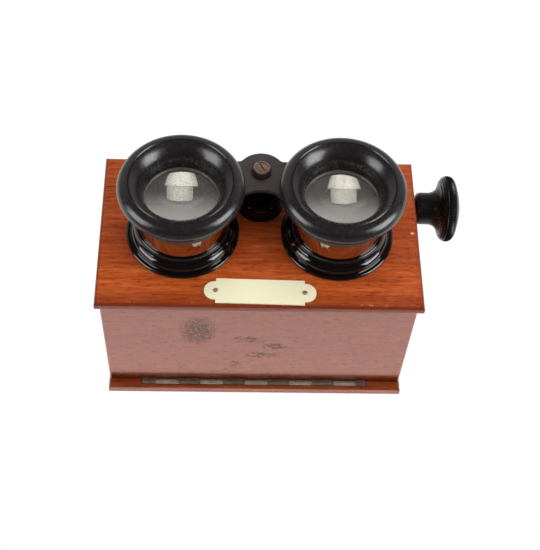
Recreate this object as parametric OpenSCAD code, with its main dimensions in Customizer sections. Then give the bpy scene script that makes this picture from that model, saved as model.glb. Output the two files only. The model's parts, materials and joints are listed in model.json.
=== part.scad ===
// Hand stereo viewer: mahogany case, two focusing eyepieces, hinged base with a ground glass.
// Millimetres. X to the knob side, Y to the rear, Z up, origin under the middle of the case.

/* [Case] */
// Width over the side walls
body_w = 132.4; // [130:0.2:150]
// Depth over the front and rear walls
body_d = 66.8; // [66:0.1:80]
// Height of the walls
wall_h = 67.2; // [60:0.2:90]
// Thickness of the walls
wall_t = 6; // [5:0.1:6.5]
// Rounding of the upright corners
corner_r = 0.8; // [0.3:0.1:1.5]

/* [Top plate] */
// Thickness of the top plate
plate_t = 5.2; // [4:0.1:8]
// Overhang past the front and rear walls
plate_lip_y = 4.4; // [2:0.1:6]
// Overhang past the side walls
plate_lip_x = 1.3; // [0.5:0.1:4]
// Rounding of the upper edge
plate_edge_r = 1.5; // [0.2:0.1:2]
// Rounding of the lower edge
plate_under_r = 2; // [0.5:0.1:3]

/* [Base door] */
// Thickness of the door
door_t = 6; // [5:0.1:9]
// Overhang past the front wall
door_lip_front = 4.1; // [3.2:0.1:6]
// Overhang past the rear wall
door_lip_rear = 3; // [1:0.1:5]
// Overhang past the side walls
door_lip_x = 0.6; // [0.5:0.1:4]
// Rounding of the upper edge
door_edge_r = 1.5; // [0.4:0.1:1.8]
// Rounding of the lower edge
door_under_r = 2.4; // [0.5:0.1:3]
// Thickness of the ground glass
pane_t = 2; // [1.5:0.1:2.2]
// Width of the ledge under the ends of the ground glass
pane_ledge = 4; // [2:0.1:4.4]

/* [Slide stage] */
// Width of the glass slide
slide_w = 45; // [40:0.5:46]
// Height of the slide channel
channel_h = 4.8; // [4.4:0.1:7]
// Side of the square mask windows
window_s = 42; // [34:0.5:43]
// Thickness of the mask board
mask_t = 2.5; // [1.5:0.1:4]
// Thickness of the partition
septum_t = 2.5; // [1.5:0.1:4]

/* [Eyepieces] */
// Distance between the eyepiece axes
eye_spacing = 65; // [62:0.5:68]
// Eyepiece axes behind the middle of the case
eye_y = -1.5; // [-3:0.1:0]
// Height of the bridge plate's underside above the top plate
eye_rise = 20.4; // [19:0.1:26]
// Outer radius of the draw sleeves
sleeve_r = 18.6; // [17.5:0.1:19]
// Wall of the draw sleeves
sleeve_wall = 1.1; // [0.8:0.1:1.6]
// Length of the sleeve below the plate's upper face
sleeve_tail = 14; // [12:0.1:18]
// Outer radius of the flanges
flange_r = 23.7; // [23:0.1:25]
// Height of the flanges
flange_h = 8.4; // [7.2:0.1:9]
// Outer radius of the eyecups
cup_r = 25.7; // [25:0.1:28]
// Height of the eyecups
cup_h = 13.4; // [11.5:0.1:18]
// Radius of the rounded eyecup rim
cup_rim_r = 4.4; // [3.6:0.1:4.6]
// Depth of the dished mouth of the eyecups
dish_h = 4; // [3.6:0.1:6]
// Radius of the bore under the dished mouth
bore_r = 15.3; // [14.8:0.1:16.4]
// Edge thickness of the lenses
lens_t = 2; // [1.5:0.1:3]
// Radius of the lens's lower surface
lens_curve = 32; // [28:0.5:60]

/* [Bridge and post] */
// Thickness of the bridge plate
bridge_t = 1.8; // [1.2:0.1:3]
// Radius of the bridge plate's rear lobe
bridge_lobe_r = 10; // [8:0.1:11]
// Radius of the bridge screw's head
screw_head_r = 3.4; // [3:0.1:4.2]
// Radius of the beaded washer
washer_r = 4.15; // [3.8:0.05:6]
// Radius of the focus post
post_r = 4; // [3.4:0.1:4.4]
// Outer radius of the post collar
collar_r = 9.9; // [9:0.1:10.4]
// Height of the post collar
collar_h = 7.8; // [5:0.1:8.4]

/* [Focus drive] */
// Teeth of the pinion
pinion_teeth = 12; // [10:1:14]
// Pitch radius of the pinion
pinion_r = 3.8; // [3.4:0.1:4]
// Width of the rack
rack_w = 5; // [3:0.1:5.4]
// Shaft axis below the top plate
shaft_drop = 8.1; // [6:0.1:12]
// Radius of the shaft
shaft_r = 1.7; // [1.2:0.1:1.8]
// Travel down from rest
travel_down = 10; // [4:0.5:10]
// Travel up from rest
travel_up = 6; // [2:0.5:6]
// Outer radius of the knob
knob_r = 14.6; // [12:0.1:18]
// Length of the knob
knob_l = 22.6; // [20:0.1:28]
// Radius of the knob's neck
neck_r = 7.1; // [6:0.1:8]

/* [Hinge and catch] */
// Left end of the hinge
hinge_x0 = -51.7; // [-56:0.1:-46]
// Right end of the hinge
hinge_x1 = 50.8; // [46:0.1:56]
// Length of one knuckle
knuckle = 10.17; // [8:0.01:13]
// Length of the cut first knuckle
knuckle_first = 6.4; // [2:0.1:8]
// Radius of the hinge barrel
barrel_r = 1.05; // [0.95:0.05:1.4]
// Thickness of the hinge leaves
leaf_t = 0.7; // [0.5:0.05:0.9]
// Radius of the hinge pin
hinge_pin_r = 0.55; // [0.4:0.05:0.6]
// Radius of the catch stud
stud_r = 1.6; // [1:0.1:1.8]
// Height of the catch stud
stud_h = 4; // [2:0.1:5]

/* [Plaque] */
// Length of the plaque between its lobes
plaque_l = 36.5; // [30:0.1:44]
// Depth of the plaque
plaque_d = 11.6; // [9.5:0.1:11.8]
// Thickness of the plaque
plaque_t = 0.8; // [0.4:0.1:1.5]
// Radius of the end lobes
plaque_lobe_r = 4.4; // [3:0.1:4.6]
// Plaque's gap to the front edge of the top plate
plaque_gap = 0.95; // [0.4:0.05:1.5]
// Turn of the plaque, as it was screwed on by hand
plaque_turn = -1; // [-2:0.1:2]

/* [Hidden] */
$fn = 64;
// Radial clearance of pieces that are fixed together
fit = 0.02;
// Radial clearance of pieces that turn or slide
run = 0.05;
// Clearance of moving pieces that are no fit
clear = 0.3;
// Overlap of cutting shapes with what they cut
cut = 1;

half_w = body_w / 2;
half_d = body_d / 2;
in_w = body_w - 2 * wall_t;
in_d = body_d - 2 * wall_t;
plate_z = door_t + wall_h;
top_z = plate_z + plate_t;
plate_x = half_w + plate_lip_x;
plate_y = half_d + plate_lip_y;
door_x = half_w + door_lip_x;
door_y0 = -half_d - door_lip_front;
door_y1 = half_d + door_lip_rear;

// Slide stage levels
ledge_t = 1;
ledge_w = 1.7;
upstand_t = 1.3;
slide_gap = 0.4;
runner_z = door_t + clear;
floor_z = runner_z + ledge_t;
mask_z = floor_z + channel_h;
channel_y = slide_w / 2 + slide_gap;
slot_y = channel_y + slide_gap;

// Ground glass and its frame
window_x = eye_spacing / 2 + window_s / 2 + 0.5;
window_y = window_s / 2 + 1;
pane_gap = 0.2;
brad_r = 0.4;
brad_grip = 1.5;
brad_bite = 1.2;
brad_cover = 0.15;
brad_inset = 0.25;
pane_x = window_x + pane_ledge;
pane_y = in_d / 2 - brad_inset - brad_bite - pane_gap;
brad_z = door_t - brad_r - brad_cover;
pane_z = brad_z - brad_r - fit - pane_t;

// Eyepiece levels, above the upper face of the top plate
bridge_top = eye_rise + bridge_t;
sleeve_top = bridge_top + 2.2;
ring_t = 1.2;
ring_edge_t = 0.5;
lens_top = sleeve_top - ring_t;
lens_low = lens_top - lens_t;
lens_r = sleeve_r - sleeve_wall - fit;
ring_in_r = bore_r - 0.4;
lens_clear_r = ring_in_r - 0.1;
lens_seat_r = lens_clear_r + 0.3;
lens_seat_t = 1.5;
cup_top = bridge_top + cup_h;
lip_z = cup_top - dish_h;
rim_c = cup_r - cup_rim_r;
rim_z = cup_top - cup_rim_r;
cup_neck_r = sleeve_r + 1.4;
spigot_r = sleeve_r + 1.6;
nut_t = 3;
nut_wall = 1.3;
nut_r = spigot_r + nut_wall;

// Focus drive places, from the rear wall forwards
module_t = 2 * pinion_r / pinion_teeth;
pressure = 20;
tooth_pitch = PI * module_t;
backlash = 0.1;
rack_add = 0.6 * module_t;
pinion_add = 0.8 * module_t;
root_gap = 0.12;
pinion_tip_r = pinion_r + pinion_add;
pinion_root_r = pinion_r - rack_add - root_gap;
rear_gap = 0.4;
shaft_y = half_d - wall_t - rear_gap - pinion_tip_r;
shaft_z = plate_z - shaft_drop;
rack_line = shaft_y - pinion_r;
rack_t = 2.2;
rack_back = rack_line - rack_t;
post_y = rack_back - 0.75 * post_r;
post_drop = 16.5;
post_end = shaft_z - post_drop;
rack_spare = 3;
rack_low = shaft_z - travel_up - rack_spare - 1;
rack_high = shaft_z + travel_down + rack_spare;
pinion_side = 0.3;
pinion_w = rack_w + 2 * pinion_side;
block_cheek = 5.2;
block_wall = 2.2;
block_back = 1.6;
block_drop = 8.5;
block_x = pinion_w / 2 + block_cheek;
block_y0 = post_y - post_r - block_wall;
block_y1 = shaft_y + shaft_r + block_back;
block_z = shaft_z - block_drop;
channel_r = rack_line + rack_add - post_y;
post_hole_gap = 0.5;
post_hole_r = norm([rack_w / 2, channel_r]) + post_hole_gap;
septum_gap = 1;
septum_y = block_y0 - septum_gap;
septum_low = post_end - travel_down - 2 * septum_gap;

// Hinge places
hinge_y = -half_d - barrel_r - 0.2;
barrel_gap = 0.25;
knuckle_gap = 0.04;
leaf_y0 = hinge_y + barrel_r + barrel_gap;
leaf_y1 = -half_d + wall_t - 0.65;
leaf_screw_y = (-half_d + leaf_y1) / 2;
hinge_screw_r = 0.8;
hinge_head_r = 1.45;
case_screw_l = 7;
door_screw_l = 4;
case_screw_n = 5;
door_screw_n = 4;
knuckle_ends = [
  hinge_x0,
  for (x = [hinge_x0 + knuckle_first : knuckle : hinge_x1 - 1]) x,
  hinge_x1
];

// Catch places
catch_y = half_d - wall_t / 2;
socket_wall = 0.9;
socket_gap = 0.25;
socket_depth = stud_h + 1;
stud_root = 3.5;

// Plaque places
plaque_y = -plate_y + plaque_gap + plaque_d / 2;
plaque_screw_x = plaque_l / 2;
plaque_screw_r = 0.7;
plaque_head_r = 1.1;
plaque_screw_l = 3.5;

// Block screws
block_screw_r = 1;
block_screw_edge = 2.2;
block_screw_x = block_x - block_screw_edge;
block_screw_ys = [block_y0 + block_screw_edge, shaft_y - shaft_r - block_screw_edge];
block_screw_head = 1.2;
block_screw_cover = 1.6;
block_screw_bite = plate_t - block_screw_cover;

// Bridge screw and washer
bridge_screw_r = 2;
bridge_screw_l = 8;
washer_t = 2.7;

// Shaft bush, collar and knob fixing
bush_wall = 1.7;
bush_r = shaft_r + bush_wall;
bush_flange_w = 1.4;
bush_flange_r = bush_r + bush_flange_w;
bush_flange_t = 1;
shaft_collar_wall = 2.2;
shaft_collar_r = shaft_r + shaft_collar_wall;
shaft_collar_l = 4;
knob_gap = 0.3;
knob_bore_l = 14;
set_screw_r = 1;
set_screw_a = 6.9;

mahogany = "#9c4423";
dark_wood = "#2a211c";
black = "#1b1b1d";
black_metal = "#3a3836";
nickel = "#c9c4bb";
brass = "#b8944c";
steel = "#8f8f92";
bronze = "#5c4a3f";
ivory = "#fbf6d8";
glass = "#c9d2cf";

// Extrudes a profile drawn in Y and Z along X
module along_x(x0, x1) {
  translate([x0, 0, 0]) rotate([90, 0, 90]) linear_extrude(height = x1 - x0) children();
}

// Extrudes a profile drawn in X and Z along Y
module along_y(y0, y1) {
  translate([0, y1, 0]) rotate([90, 0, 0]) linear_extrude(height = y1 - y0) children();
}

// Section of a board with its four long edges rounded
module board_section(a0, a1, t, r_top, r_low) {
  difference() {
    translate([a0, 0]) square([a1 - a0, t]);
    translate([a0, t - r_top]) square(r_top);
    translate([a1 - r_top, t - r_top]) square(r_top);
    translate([a0, 0]) square(r_low);
    translate([a1 - r_low, 0]) square(r_low);
  }
  for (a = [a0 + r_top, a1 - r_top]) translate([a, t - r_top]) circle(r_top);
  for (a = [a0 + r_low, a1 - r_low]) translate([a, r_low]) circle(r_low);
}

// Board with the same rounded edge on all four sides
module moulded_board(x0, x1, y0, y1, t, r_top, r_low) {
  intersection() {
    along_x(x0, x1) board_section(y0, y1, t, r_top, r_low);
    along_y(y0, y1) board_section(x0, x1, t, r_top, r_low);
  }
}

// Places its children at the left and right eyepiece axes, above the top plate
module at_eye(side) {
  translate([side * eye_spacing / 2, eye_y, top_z]) children();
}

// Plan of one wall with mitred ends; turned 0 for front, 2 for rear, 1 and 3 for the sides
module wall_plan(quarter) {
  corners = [[-half_w, -half_d], [half_w, -half_d], [half_w, half_d], [-half_w, half_d]];
  inner = [for (c = corners) [sign(c.x) * (half_w - wall_t), sign(c.y) * (half_d - wall_t)]];
  next = (quarter + 1) % 4;
  intersection() {
    polygon([corners[quarter], corners[next], inner[next], inner[quarter]]);
    union() {
      square([body_w - 2 * corner_r, body_d], center = true);
      square([body_w, body_d - 2 * corner_r], center = true);
      for (c = corners)
        translate([sign(c.x) * (half_w - corner_r), sign(c.y) * (half_d - corner_r)]) circle(corner_r);
    }
  }
}

module wall(quarter) {
  translate([0, 0, door_t]) linear_extrude(height = wall_h) wall_plan(quarter);
}

// Slide slot cut through both side walls at their lower edge
module slide_slot() {
  translate([-half_w - cut, -slot_y, door_t - cut]) cube([body_w + 2 * cut, 2 * slot_y, mask_z - door_t + cut]);
}

function screw_x(i, n) = hinge_x0 + (hinge_x1 - hinge_x0) * (i + 0.5) / n;

// Countersunk screw pointing up from its head face at the origin
module csk_screw(l, grow = 0) {
  cylinder(h = leaf_t, r1 = hinge_head_r + grow, r2 = hinge_screw_r + grow);
  cylinder(h = l + grow, r = hinge_screw_r + grow);
}

module case_screws_at(grow = 0) {
  for (i = [0 : case_screw_n - 1])
    translate([screw_x(i, case_screw_n), leaf_screw_y, door_t]) csk_screw(case_screw_l, grow);
}

module door_screws_at(grow = 0) {
  for (i = [0 : door_screw_n - 1])
    translate([screw_x(i, door_screw_n), leaf_screw_y, door_t]) mirror([0, 0, 1]) csk_screw(door_screw_l, grow);
}

module top_plate() color(mahogany) difference() {
  translate([0, 0, plate_z])
    moulded_board(-plate_x, plate_x, -plate_y, plate_y, plate_t, plate_edge_r, plate_under_r);
  for (side = [-1, 1])
    at_eye(side) translate([0, 0, -plate_t - cut]) cylinder(h = plate_t + 2 * cut, r = spigot_r + fit);
  translate([0, post_y, plate_z - cut]) cylinder(h = plate_t + 2 * cut, r = post_hole_r);
  plaque_screws_at(fit);
  block_screws_at(fit);
}

module front_wall() color(mahogany) difference() {
  wall(0);
  translate([hinge_x0 - fit, -half_d - cut, door_t - cut])
    cube([hinge_x1 - hinge_x0 + 2 * fit, leaf_y1 + half_d + cut + fit, leaf_t + fit + cut]);
  case_screws_at(fit);
}

module rear_wall() color(mahogany) difference() {
  wall(2);
  translate([0, catch_y, door_t - cut])
    cylinder(h = socket_depth + socket_wall + fit + cut, r = stud_r + socket_gap + socket_wall + fit);
}

module left_wall() color(mahogany) difference() {
  wall(3);
  slide_slot();
}

module right_wall() color(mahogany) difference() {
  wall(1);
  slide_slot();
  translate([0, shaft_y, shaft_z]) rotate([0, 90, 0]) cylinder(h = half_w + cut, r = bush_r + fit);
}

// Strip under the mask board, with a ledge that carries the edge of the slide
module slide_runner() {
  along_x(-in_w / 2, in_w / 2) polygon([
    [-channel_y - upstand_t, runner_z], [ledge_w - slide_w / 2, runner_z],
    [ledge_w - slide_w / 2, floor_z], [-channel_y, floor_z],
    [-channel_y, mask_z], [-channel_y - upstand_t, mask_z]
  ]);
}

module slide_runner_front() color(dark_wood) slide_runner();

module slide_runner_rear() color(dark_wood) mirror([0, 1, 0]) slide_runner();

module mask_board() color(dark_wood) difference() {
  translate([-in_w / 2, -in_d / 2, mask_z]) cube([in_w, in_d, mask_t]);
  for (side = [-1, 1])
    translate([side * eye_spacing / 2 - window_s / 2, -window_s / 2, mask_z - cut])
      cube([window_s, window_s, mask_t + 2 * cut]);
}

module septum() color(dark_wood) along_x(-septum_t / 2, septum_t / 2) polygon([
  [-in_d / 2, mask_z + mask_t], [in_d / 2, mask_z + mask_t], [in_d / 2, septum_low],
  [septum_y, septum_low], [septum_y, plate_z], [-in_d / 2, plate_z]
]);

// Turned flange: bead, ovolo, crisp step, cone and a flat lip round the sleeve
module flange() {
  bead_r = 0.65;
  ovolo_r = 4;
  groove_w = 1;
  bore_r = sleeve_r + run;
  bead_c = flange_r - bead_r;
  ovolo_edge = bead_c - groove_w;
  step_r = sleeve_r + 1.8;
  step_h = flange_h - 2.3;
  lip_r = sleeve_r + 0.8;
  lip_h = 0.5;
  rotate_extrude() {
    translate([bore_r, -plate_t - nut_t]) square([spigot_r - bore_r, plate_t + nut_t]);
    translate([bore_r, 0]) square([bead_c - bore_r, 2 * bead_r]);
    translate([bead_c, bead_r]) circle(bead_r);
    intersection() {
      translate([ovolo_edge - ovolo_r, 2 * bead_r]) circle(ovolo_r);
      translate([bore_r, 2 * bead_r - 0.1]) square([ovolo_edge - bore_r, ovolo_r]);
    }
    polygon([
      [bore_r, 0], [step_r, 0], [step_r, step_h], [lip_r, flange_h - lip_h], [lip_r, flange_h], [bore_r, flange_h]
    ]);
  }
}

module flange_left() color(black) at_eye(-1) flange();

module flange_right() color(black) at_eye(1) flange();

module flange_nut() {
  translate([0, 0, -plate_t - nut_t]) difference() {
    cylinder(h = nut_t, r = nut_r);
    translate([0, 0, -cut]) cylinder(h = nut_t + 2 * cut, r = spigot_r + fit);
  }
}

module flange_nut_left() color(brass) at_eye(-1) flange_nut();

module flange_nut_right() color(brass) at_eye(1) flange_nut();

// Bell-shaped collar round the hole that the post slides through
module post_collar() color(black) translate([0, post_y, top_z]) rotate_extrude() {
  bead_r = 0.8;
  top_r = 1.8;
  wall_r = collar_r - 0.6;
  translate([post_hole_r, 0]) square([collar_r - bead_r - post_hole_r, 2 * bead_r]);
  translate([collar_r - bead_r, bead_r]) circle(bead_r);
  translate([post_hole_r, 0]) square([wall_r - post_hole_r, collar_h - top_r]);
  intersection() {
    translate([wall_r - top_r, collar_h - top_r]) circle(top_r);
    translate([post_hole_r, 0]) square([collar_r, collar_h]);
  }
}

module block_screws_at(grow = 0) {
  for (x = [-block_screw_x, block_screw_x], y = block_screw_ys)
    translate([x, y, block_z]) cylinder(h = plate_z + block_screw_bite - block_z + grow, r = block_screw_r + grow);
}

// Guide block under the plate: bore for the post, channel for the rack, two cheeks for the shaft
module focus_block() color(brass) difference() {
  translate([-block_x, block_y0, block_z]) cube([2 * block_x, block_y1 - block_y0, plate_z - block_z]);
  translate([0, post_y, block_z - cut]) cylinder(h = plate_z - block_z + 2 * cut, r = post_r + run);
  translate([-rack_w / 2 - clear, post_y, block_z - cut])
    cube([rack_w + 2 * clear, block_y1 - post_y, plate_z - block_z + 2 * cut]);
  translate([-pinion_w / 2 - clear, shaft_y, shaft_z]) rotate([0, 90, 0])
    cylinder(h = pinion_w + 2 * clear, r = pinion_tip_r + clear);
  translate([-pinion_w / 2 - clear, shaft_y, shaft_z - pinion_tip_r - clear])
    cube([pinion_w + 2 * clear, block_y1, 2 * (pinion_tip_r + clear)]);
  translate([-block_x - cut, shaft_y, shaft_z]) rotate([0, 90, 0])
    cylinder(h = 2 * (block_x + cut), r = shaft_r + run);
  block_screws_at(fit);
}

module block_screws() color(steel) {
  block_screws_at();
  for (x = [-block_screw_x, block_screw_x], y = block_screw_ys)
    translate([x, y, block_z - block_screw_head]) difference() {
      cylinder(h = block_screw_head, r = 2 * block_screw_r - 0.1);
      translate([-2 * block_screw_r, -0.3, -cut]) cube([4 * block_screw_r, 0.6, cut + 0.5]);
    }
}

module shaft_bush() color(brass) translate([half_w - wall_t - bush_flange_t, shaft_y, shaft_z]) rotate([0, 90, 0])
  difference() {
    union() {
      cylinder(h = bush_flange_t, r = bush_flange_r);
      cylinder(h = bush_flange_t + wall_t, r = bush_r);
    }
    translate([0, 0, -cut]) cylinder(h = bush_flange_t + wall_t + 2 * cut, r = shaft_r + run);
  }

// Places its children at the middle of the plaque, on the top plate
module at_plaque() {
  translate([0, plaque_y, top_z]) rotate([0, 0, plaque_turn]) children();
}

module plaque_screws_at(grow = 0) {
  at_plaque() for (side = [-1, 1])
    translate([side * plaque_screw_x, 0, plaque_t - plaque_screw_l])
      cylinder(h = plaque_screw_l + grow, r = plaque_screw_r + grow);
}

// Plate with half-round lobes at its ends
module plaque() color(ivory) difference() {
  at_plaque() linear_extrude(height = plaque_t) {
    square([plaque_l, plaque_d], center = true);
    for (side = [-1, 1]) translate([side * (plaque_l / 2 + 0.4), 0]) circle(plaque_lobe_r);
  }
  plaque_screws_at(fit);
}

module plaque_screws() color(bronze) {
  plaque_screws_at();
  at_plaque() for (side = [-1, 1])
    translate([side * plaque_screw_x, 0, plaque_t]) difference() {
      intersection() {
        cylinder(h = plaque_head_r, r = plaque_head_r);
        translate([0, 0, -0.6]) sphere(plaque_head_r + 0.15);
      }
      translate([-plaque_head_r, -0.15, 0.35]) cube([2 * plaque_head_r, 0.3, plaque_head_r]);
    }
}

// Knuckles of one leaf: every second one, starting at the given index
module knuckles(first) {
  for (k = [first : 2 : len(knuckle_ends) - 2]) {
    x0 = knuckle_ends[k] + knuckle_gap;
    x1 = knuckle_ends[k + 1] - knuckle_gap;
    translate([x0, hinge_y, door_t]) rotate([0, 90, 0]) cylinder(h = x1 - x0, r = barrel_r);
    translate([x0, hinge_y, door_t]) cube([x1 - x0, leaf_y0 - hinge_y + fit, leaf_t]);
  }
}

module hinge_bore() {
  translate([hinge_x0 - cut, hinge_y, door_t]) rotate([0, 90, 0])
    cylinder(h = hinge_x1 - hinge_x0 + 2 * cut, r = hinge_pin_r + run);
}

module leaf_plate() {
  translate([hinge_x0, leaf_y0, door_t]) cube([hinge_x1 - hinge_x0, leaf_y1 - leaf_y0, leaf_t]);
}

module hinge_leaf_case() color(brass) difference() {
  union() {
    leaf_plate();
    knuckles(0);
  }
  hinge_bore();
  case_screws_at(fit);
}

module hinge_leaf_door() color(brass) difference() {
  translate([0, 0, 2 * door_t]) mirror([0, 0, 1]) union() {
    leaf_plate();
    knuckles(1);
  }
  hinge_bore();
  door_screws_at(fit);
}

module hinge_pin() color(steel) translate([hinge_x0, hinge_y, door_t]) rotate([0, 90, 0])
  cylinder(h = hinge_x1 - hinge_x0, r = hinge_pin_r);

module case_hinge_screws() color(brass) case_screws_at();

module door_hinge_screws() color(brass) door_screws_at();

module catch_socket() color(brass) translate([0, catch_y, door_t]) difference() {
  cylinder(h = socket_depth + socket_wall, r = stud_r + socket_gap + socket_wall);
  translate([0, 0, -cut]) cylinder(h = socket_depth + cut, r = stud_r + socket_gap);
}

module catch_stud() color(brass) translate([0, catch_y, door_t]) {
  translate([0, 0, -stud_root]) cylinder(h = stud_root + stud_h - stud_r, r = stud_r);
  translate([0, 0, stud_h - stud_r]) sphere(stud_r);
}

// Draw sleeve with an inward seat for the lens inside its upper end
module sleeve() {
  translate([0, 0, -sleeve_tail]) difference() {
    cylinder(h = sleeve_tail + sleeve_top, r = sleeve_r);
    translate([0, 0, -cut])
      cylinder(h = sleeve_tail + lens_low - lens_seat_t + cut, r = sleeve_r - sleeve_wall);
    translate([0, 0, -cut]) cylinder(h = sleeve_tail + sleeve_top + 2 * cut, r = lens_seat_r);
    translate([0, 0, sleeve_tail + lens_low])
      cylinder(h = sleeve_top - lens_low + cut, r = sleeve_r - sleeve_wall);
  }
}

module sleeve_left() color(nickel) at_eye(-1) sleeve();

module sleeve_right() color(nickel) at_eye(1) sleeve();

// Turned cup: neck, flared wall, round rim, and a dished mouth over a straight bore
module eyecup() {
  dish_edge = rim_c + 0.1;
  dish_r = 12;
  chord = [dish_edge - bore_r, cup_top - lip_z];
  half_chord = norm(chord) / 2;
  reach = sqrt(dish_r * dish_r - half_chord * half_chord);
  dish_c = [bore_r, lip_z] + chord / 2 + reach * [-chord.y, chord.x] / norm(chord);
  tangent = 62;
  flare = [rim_c + cup_rim_r * cos(tangent), rim_z - cup_rim_r * sin(tangent)];
  neck_top = flare.y - (flare.x - cup_neck_r) / tan(tangent);
  rotate_extrude() difference() {
    union() {
      polygon([
        [sleeve_r + fit, bridge_top], [cup_neck_r, bridge_top], [cup_neck_r, neck_top],
        flare, [rim_c, rim_z], [rim_c, cup_top], [sleeve_r + fit, cup_top]
      ]);
      translate([bore_r, sleeve_top]) square([cup_neck_r - bore_r, cup_top - 1 - sleeve_top]);
      translate([rim_c, rim_z]) circle(cup_rim_r);
    }
    intersection() {
      translate(dish_c) circle(dish_r);
      translate([0, lip_z]) square([cup_r, cup_h]);
    }
  }
}

module eyecup_left() color(black) at_eye(-1) eyecup();

module eyecup_right() color(black) at_eye(1) eyecup();

// Lens with a flat upper face, a flat edge and a round lower face
module lens() {
  sag = lens_curve - sqrt(lens_curve * lens_curve - lens_clear_r * lens_clear_r);
  rotate_extrude() {
    translate([0, lens_low]) square([lens_r, lens_t]);
    intersection() {
      translate([0, lens_low - sag]) square([lens_clear_r, lens_t / 2 + sag]);
      translate([0, lens_low - sag + lens_curve]) circle(lens_curve, $fn = 720);
    }
  }
}

module lens_left() color(glass) at_eye(-1) lens();

module lens_right() color(glass) at_eye(1) lens();

// Ring that holds the lens, sloped towards the bore of the eyecup
module lens_ring() {
  rotate_extrude() polygon([
    [ring_in_r, lens_top], [lens_r, lens_top], [lens_r, sleeve_top], [bore_r, sleeve_top],
    [ring_in_r, lens_top + ring_edge_t]
  ]);
}

module lens_ring_left() color(black) at_eye(-1) lens_ring();

module lens_ring_right() color(black) at_eye(1) lens_ring();

// Plate with a ring round each sleeve, a rear lobe with hollow shoulders and a hollowed front edge
module bridge_plate() color(black_metal) translate([0, 0, top_z + eye_rise]) linear_extrude(height = bridge_t)
  difference() {
    ring_r = cup_neck_r + 0.6;
    web_y0 = post_y - bridge_lobe_r + 0.9;
    web_y1 = post_y + 5.2;
    hollow_r = 13;
    fillet_r = 5;
    fillet_y = web_y1 + fillet_r - 0.05;
    fillet_x = sqrt(pow(bridge_lobe_r + fillet_r - 0.05, 2) - pow(fillet_y - post_y, 2));
    fillet_top = 1.03 * bridge_lobe_r / (bridge_lobe_r + fillet_r) * [fillet_x, fillet_y - post_y];
    union() {
      for (side = [-1, 1]) translate([side * eye_spacing / 2, eye_y]) circle(ring_r);
      translate([-eye_spacing / 2, web_y0 - 4]) square([eye_spacing, web_y1 - web_y0 + 4]);
      translate([0, post_y]) circle(bridge_lobe_r);
      for (side = [-1, 1]) difference() {
        polygon([
          [0, post_y], [side * fillet_top.x, post_y + fillet_top.y],
          [side * fillet_x, web_y1], [side * fillet_x, web_y1 - 1]
        ]);
        translate([side * fillet_x, fillet_y]) circle(fillet_r);
      }
    }
    translate([0, web_y0 - hollow_r]) circle(hollow_r);
    for (side = [-1, 1]) translate([side * eye_spacing / 2, eye_y]) circle(sleeve_r + fit);
    translate([0, post_y]) circle(bridge_screw_r + fit);
  }

module bridge_washer() color(bronze) translate([0, post_y, top_z + bridge_top]) difference() {
  cylinder(h = washer_t, r = washer_r);
  translate([0, 0, -cut]) cylinder(h = washer_t + 2 * cut, r = bridge_screw_r + fit);
}

module bridge_screw() color(bronze) translate([0, post_y, top_z + bridge_top]) {
  head_z = washer_t;
  dome_h = 1.2;
  dome_r = (screw_head_r * screw_head_r + dome_h * dome_h) / (2 * dome_h);
  slot_angle = -62;
  translate([0, 0, -bridge_screw_l]) cylinder(h = bridge_screw_l + head_z, r = bridge_screw_r);
  difference() {
    intersection() {
      translate([0, 0, head_z]) cylinder(h = dome_h, r = screw_head_r);
      translate([0, 0, head_z + dome_h - dome_r]) sphere(dome_r);
    }
    rotate([0, 0, slot_angle]) translate([-screw_head_r, -0.35, head_z + dome_h - 0.7])
      cube([2 * screw_head_r, 0.7, dome_h]);
  }
}

module focus_post() color(black_metal) difference() {
  translate([0, post_y, post_end]) cylinder(h = top_z + eye_rise - post_end, r = post_r);
  translate([-post_r, rack_back, post_end - cut]) cube([2 * post_r, post_r, rack_high - post_end + cut + fit]);
  translate([0, post_y, top_z + bridge_top - bridge_screw_l - fit])
    cylinder(h = bridge_screw_l, r = bridge_screw_r + fit);
}

// Straight rack with a tooth space level with the shaft
module focus_rack() color(brass) along_x(-rack_w / 2, rack_w / 2) {
  root_y = rack_line - pinion_add - root_gap;
  tip_y = rack_line + rack_add;
  half_pitch_w = tooth_pitch / 4 - backlash / 2;
  half_root_w = half_pitch_w + (rack_line - root_y) * tan(pressure);
  half_tip_w = half_pitch_w - rack_add * tan(pressure);
  translate([rack_back, rack_low]) square([root_y - rack_back, rack_high - rack_low]);
  first = ceil((rack_low - shaft_z) / tooth_pitch) + 0.5;
  last = floor((rack_high - shaft_z) / tooth_pitch) - 0.5;
  for (k = [first : 1 : last])
    translate([0, shaft_z + k * tooth_pitch]) polygon([
      [root_y - fit, -half_root_w], [root_y, -half_root_w], [tip_y, -half_tip_w],
      [tip_y, half_tip_w], [root_y, half_root_w], [root_y - fit, half_root_w]
    ]);
}

// Involute polar angle, in degrees, at radius r on a base circle
function involute(base, r) = let (a = acos(min(1, base / r))) tan(a) * 180 / PI - a;

// Half the angle of a tooth at radius r
function tooth_half(base, r) =
  (tooth_pitch / 4 - backlash / 2) / pinion_r * 180 / PI + involute(base, pinion_r) - involute(base, r);

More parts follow.
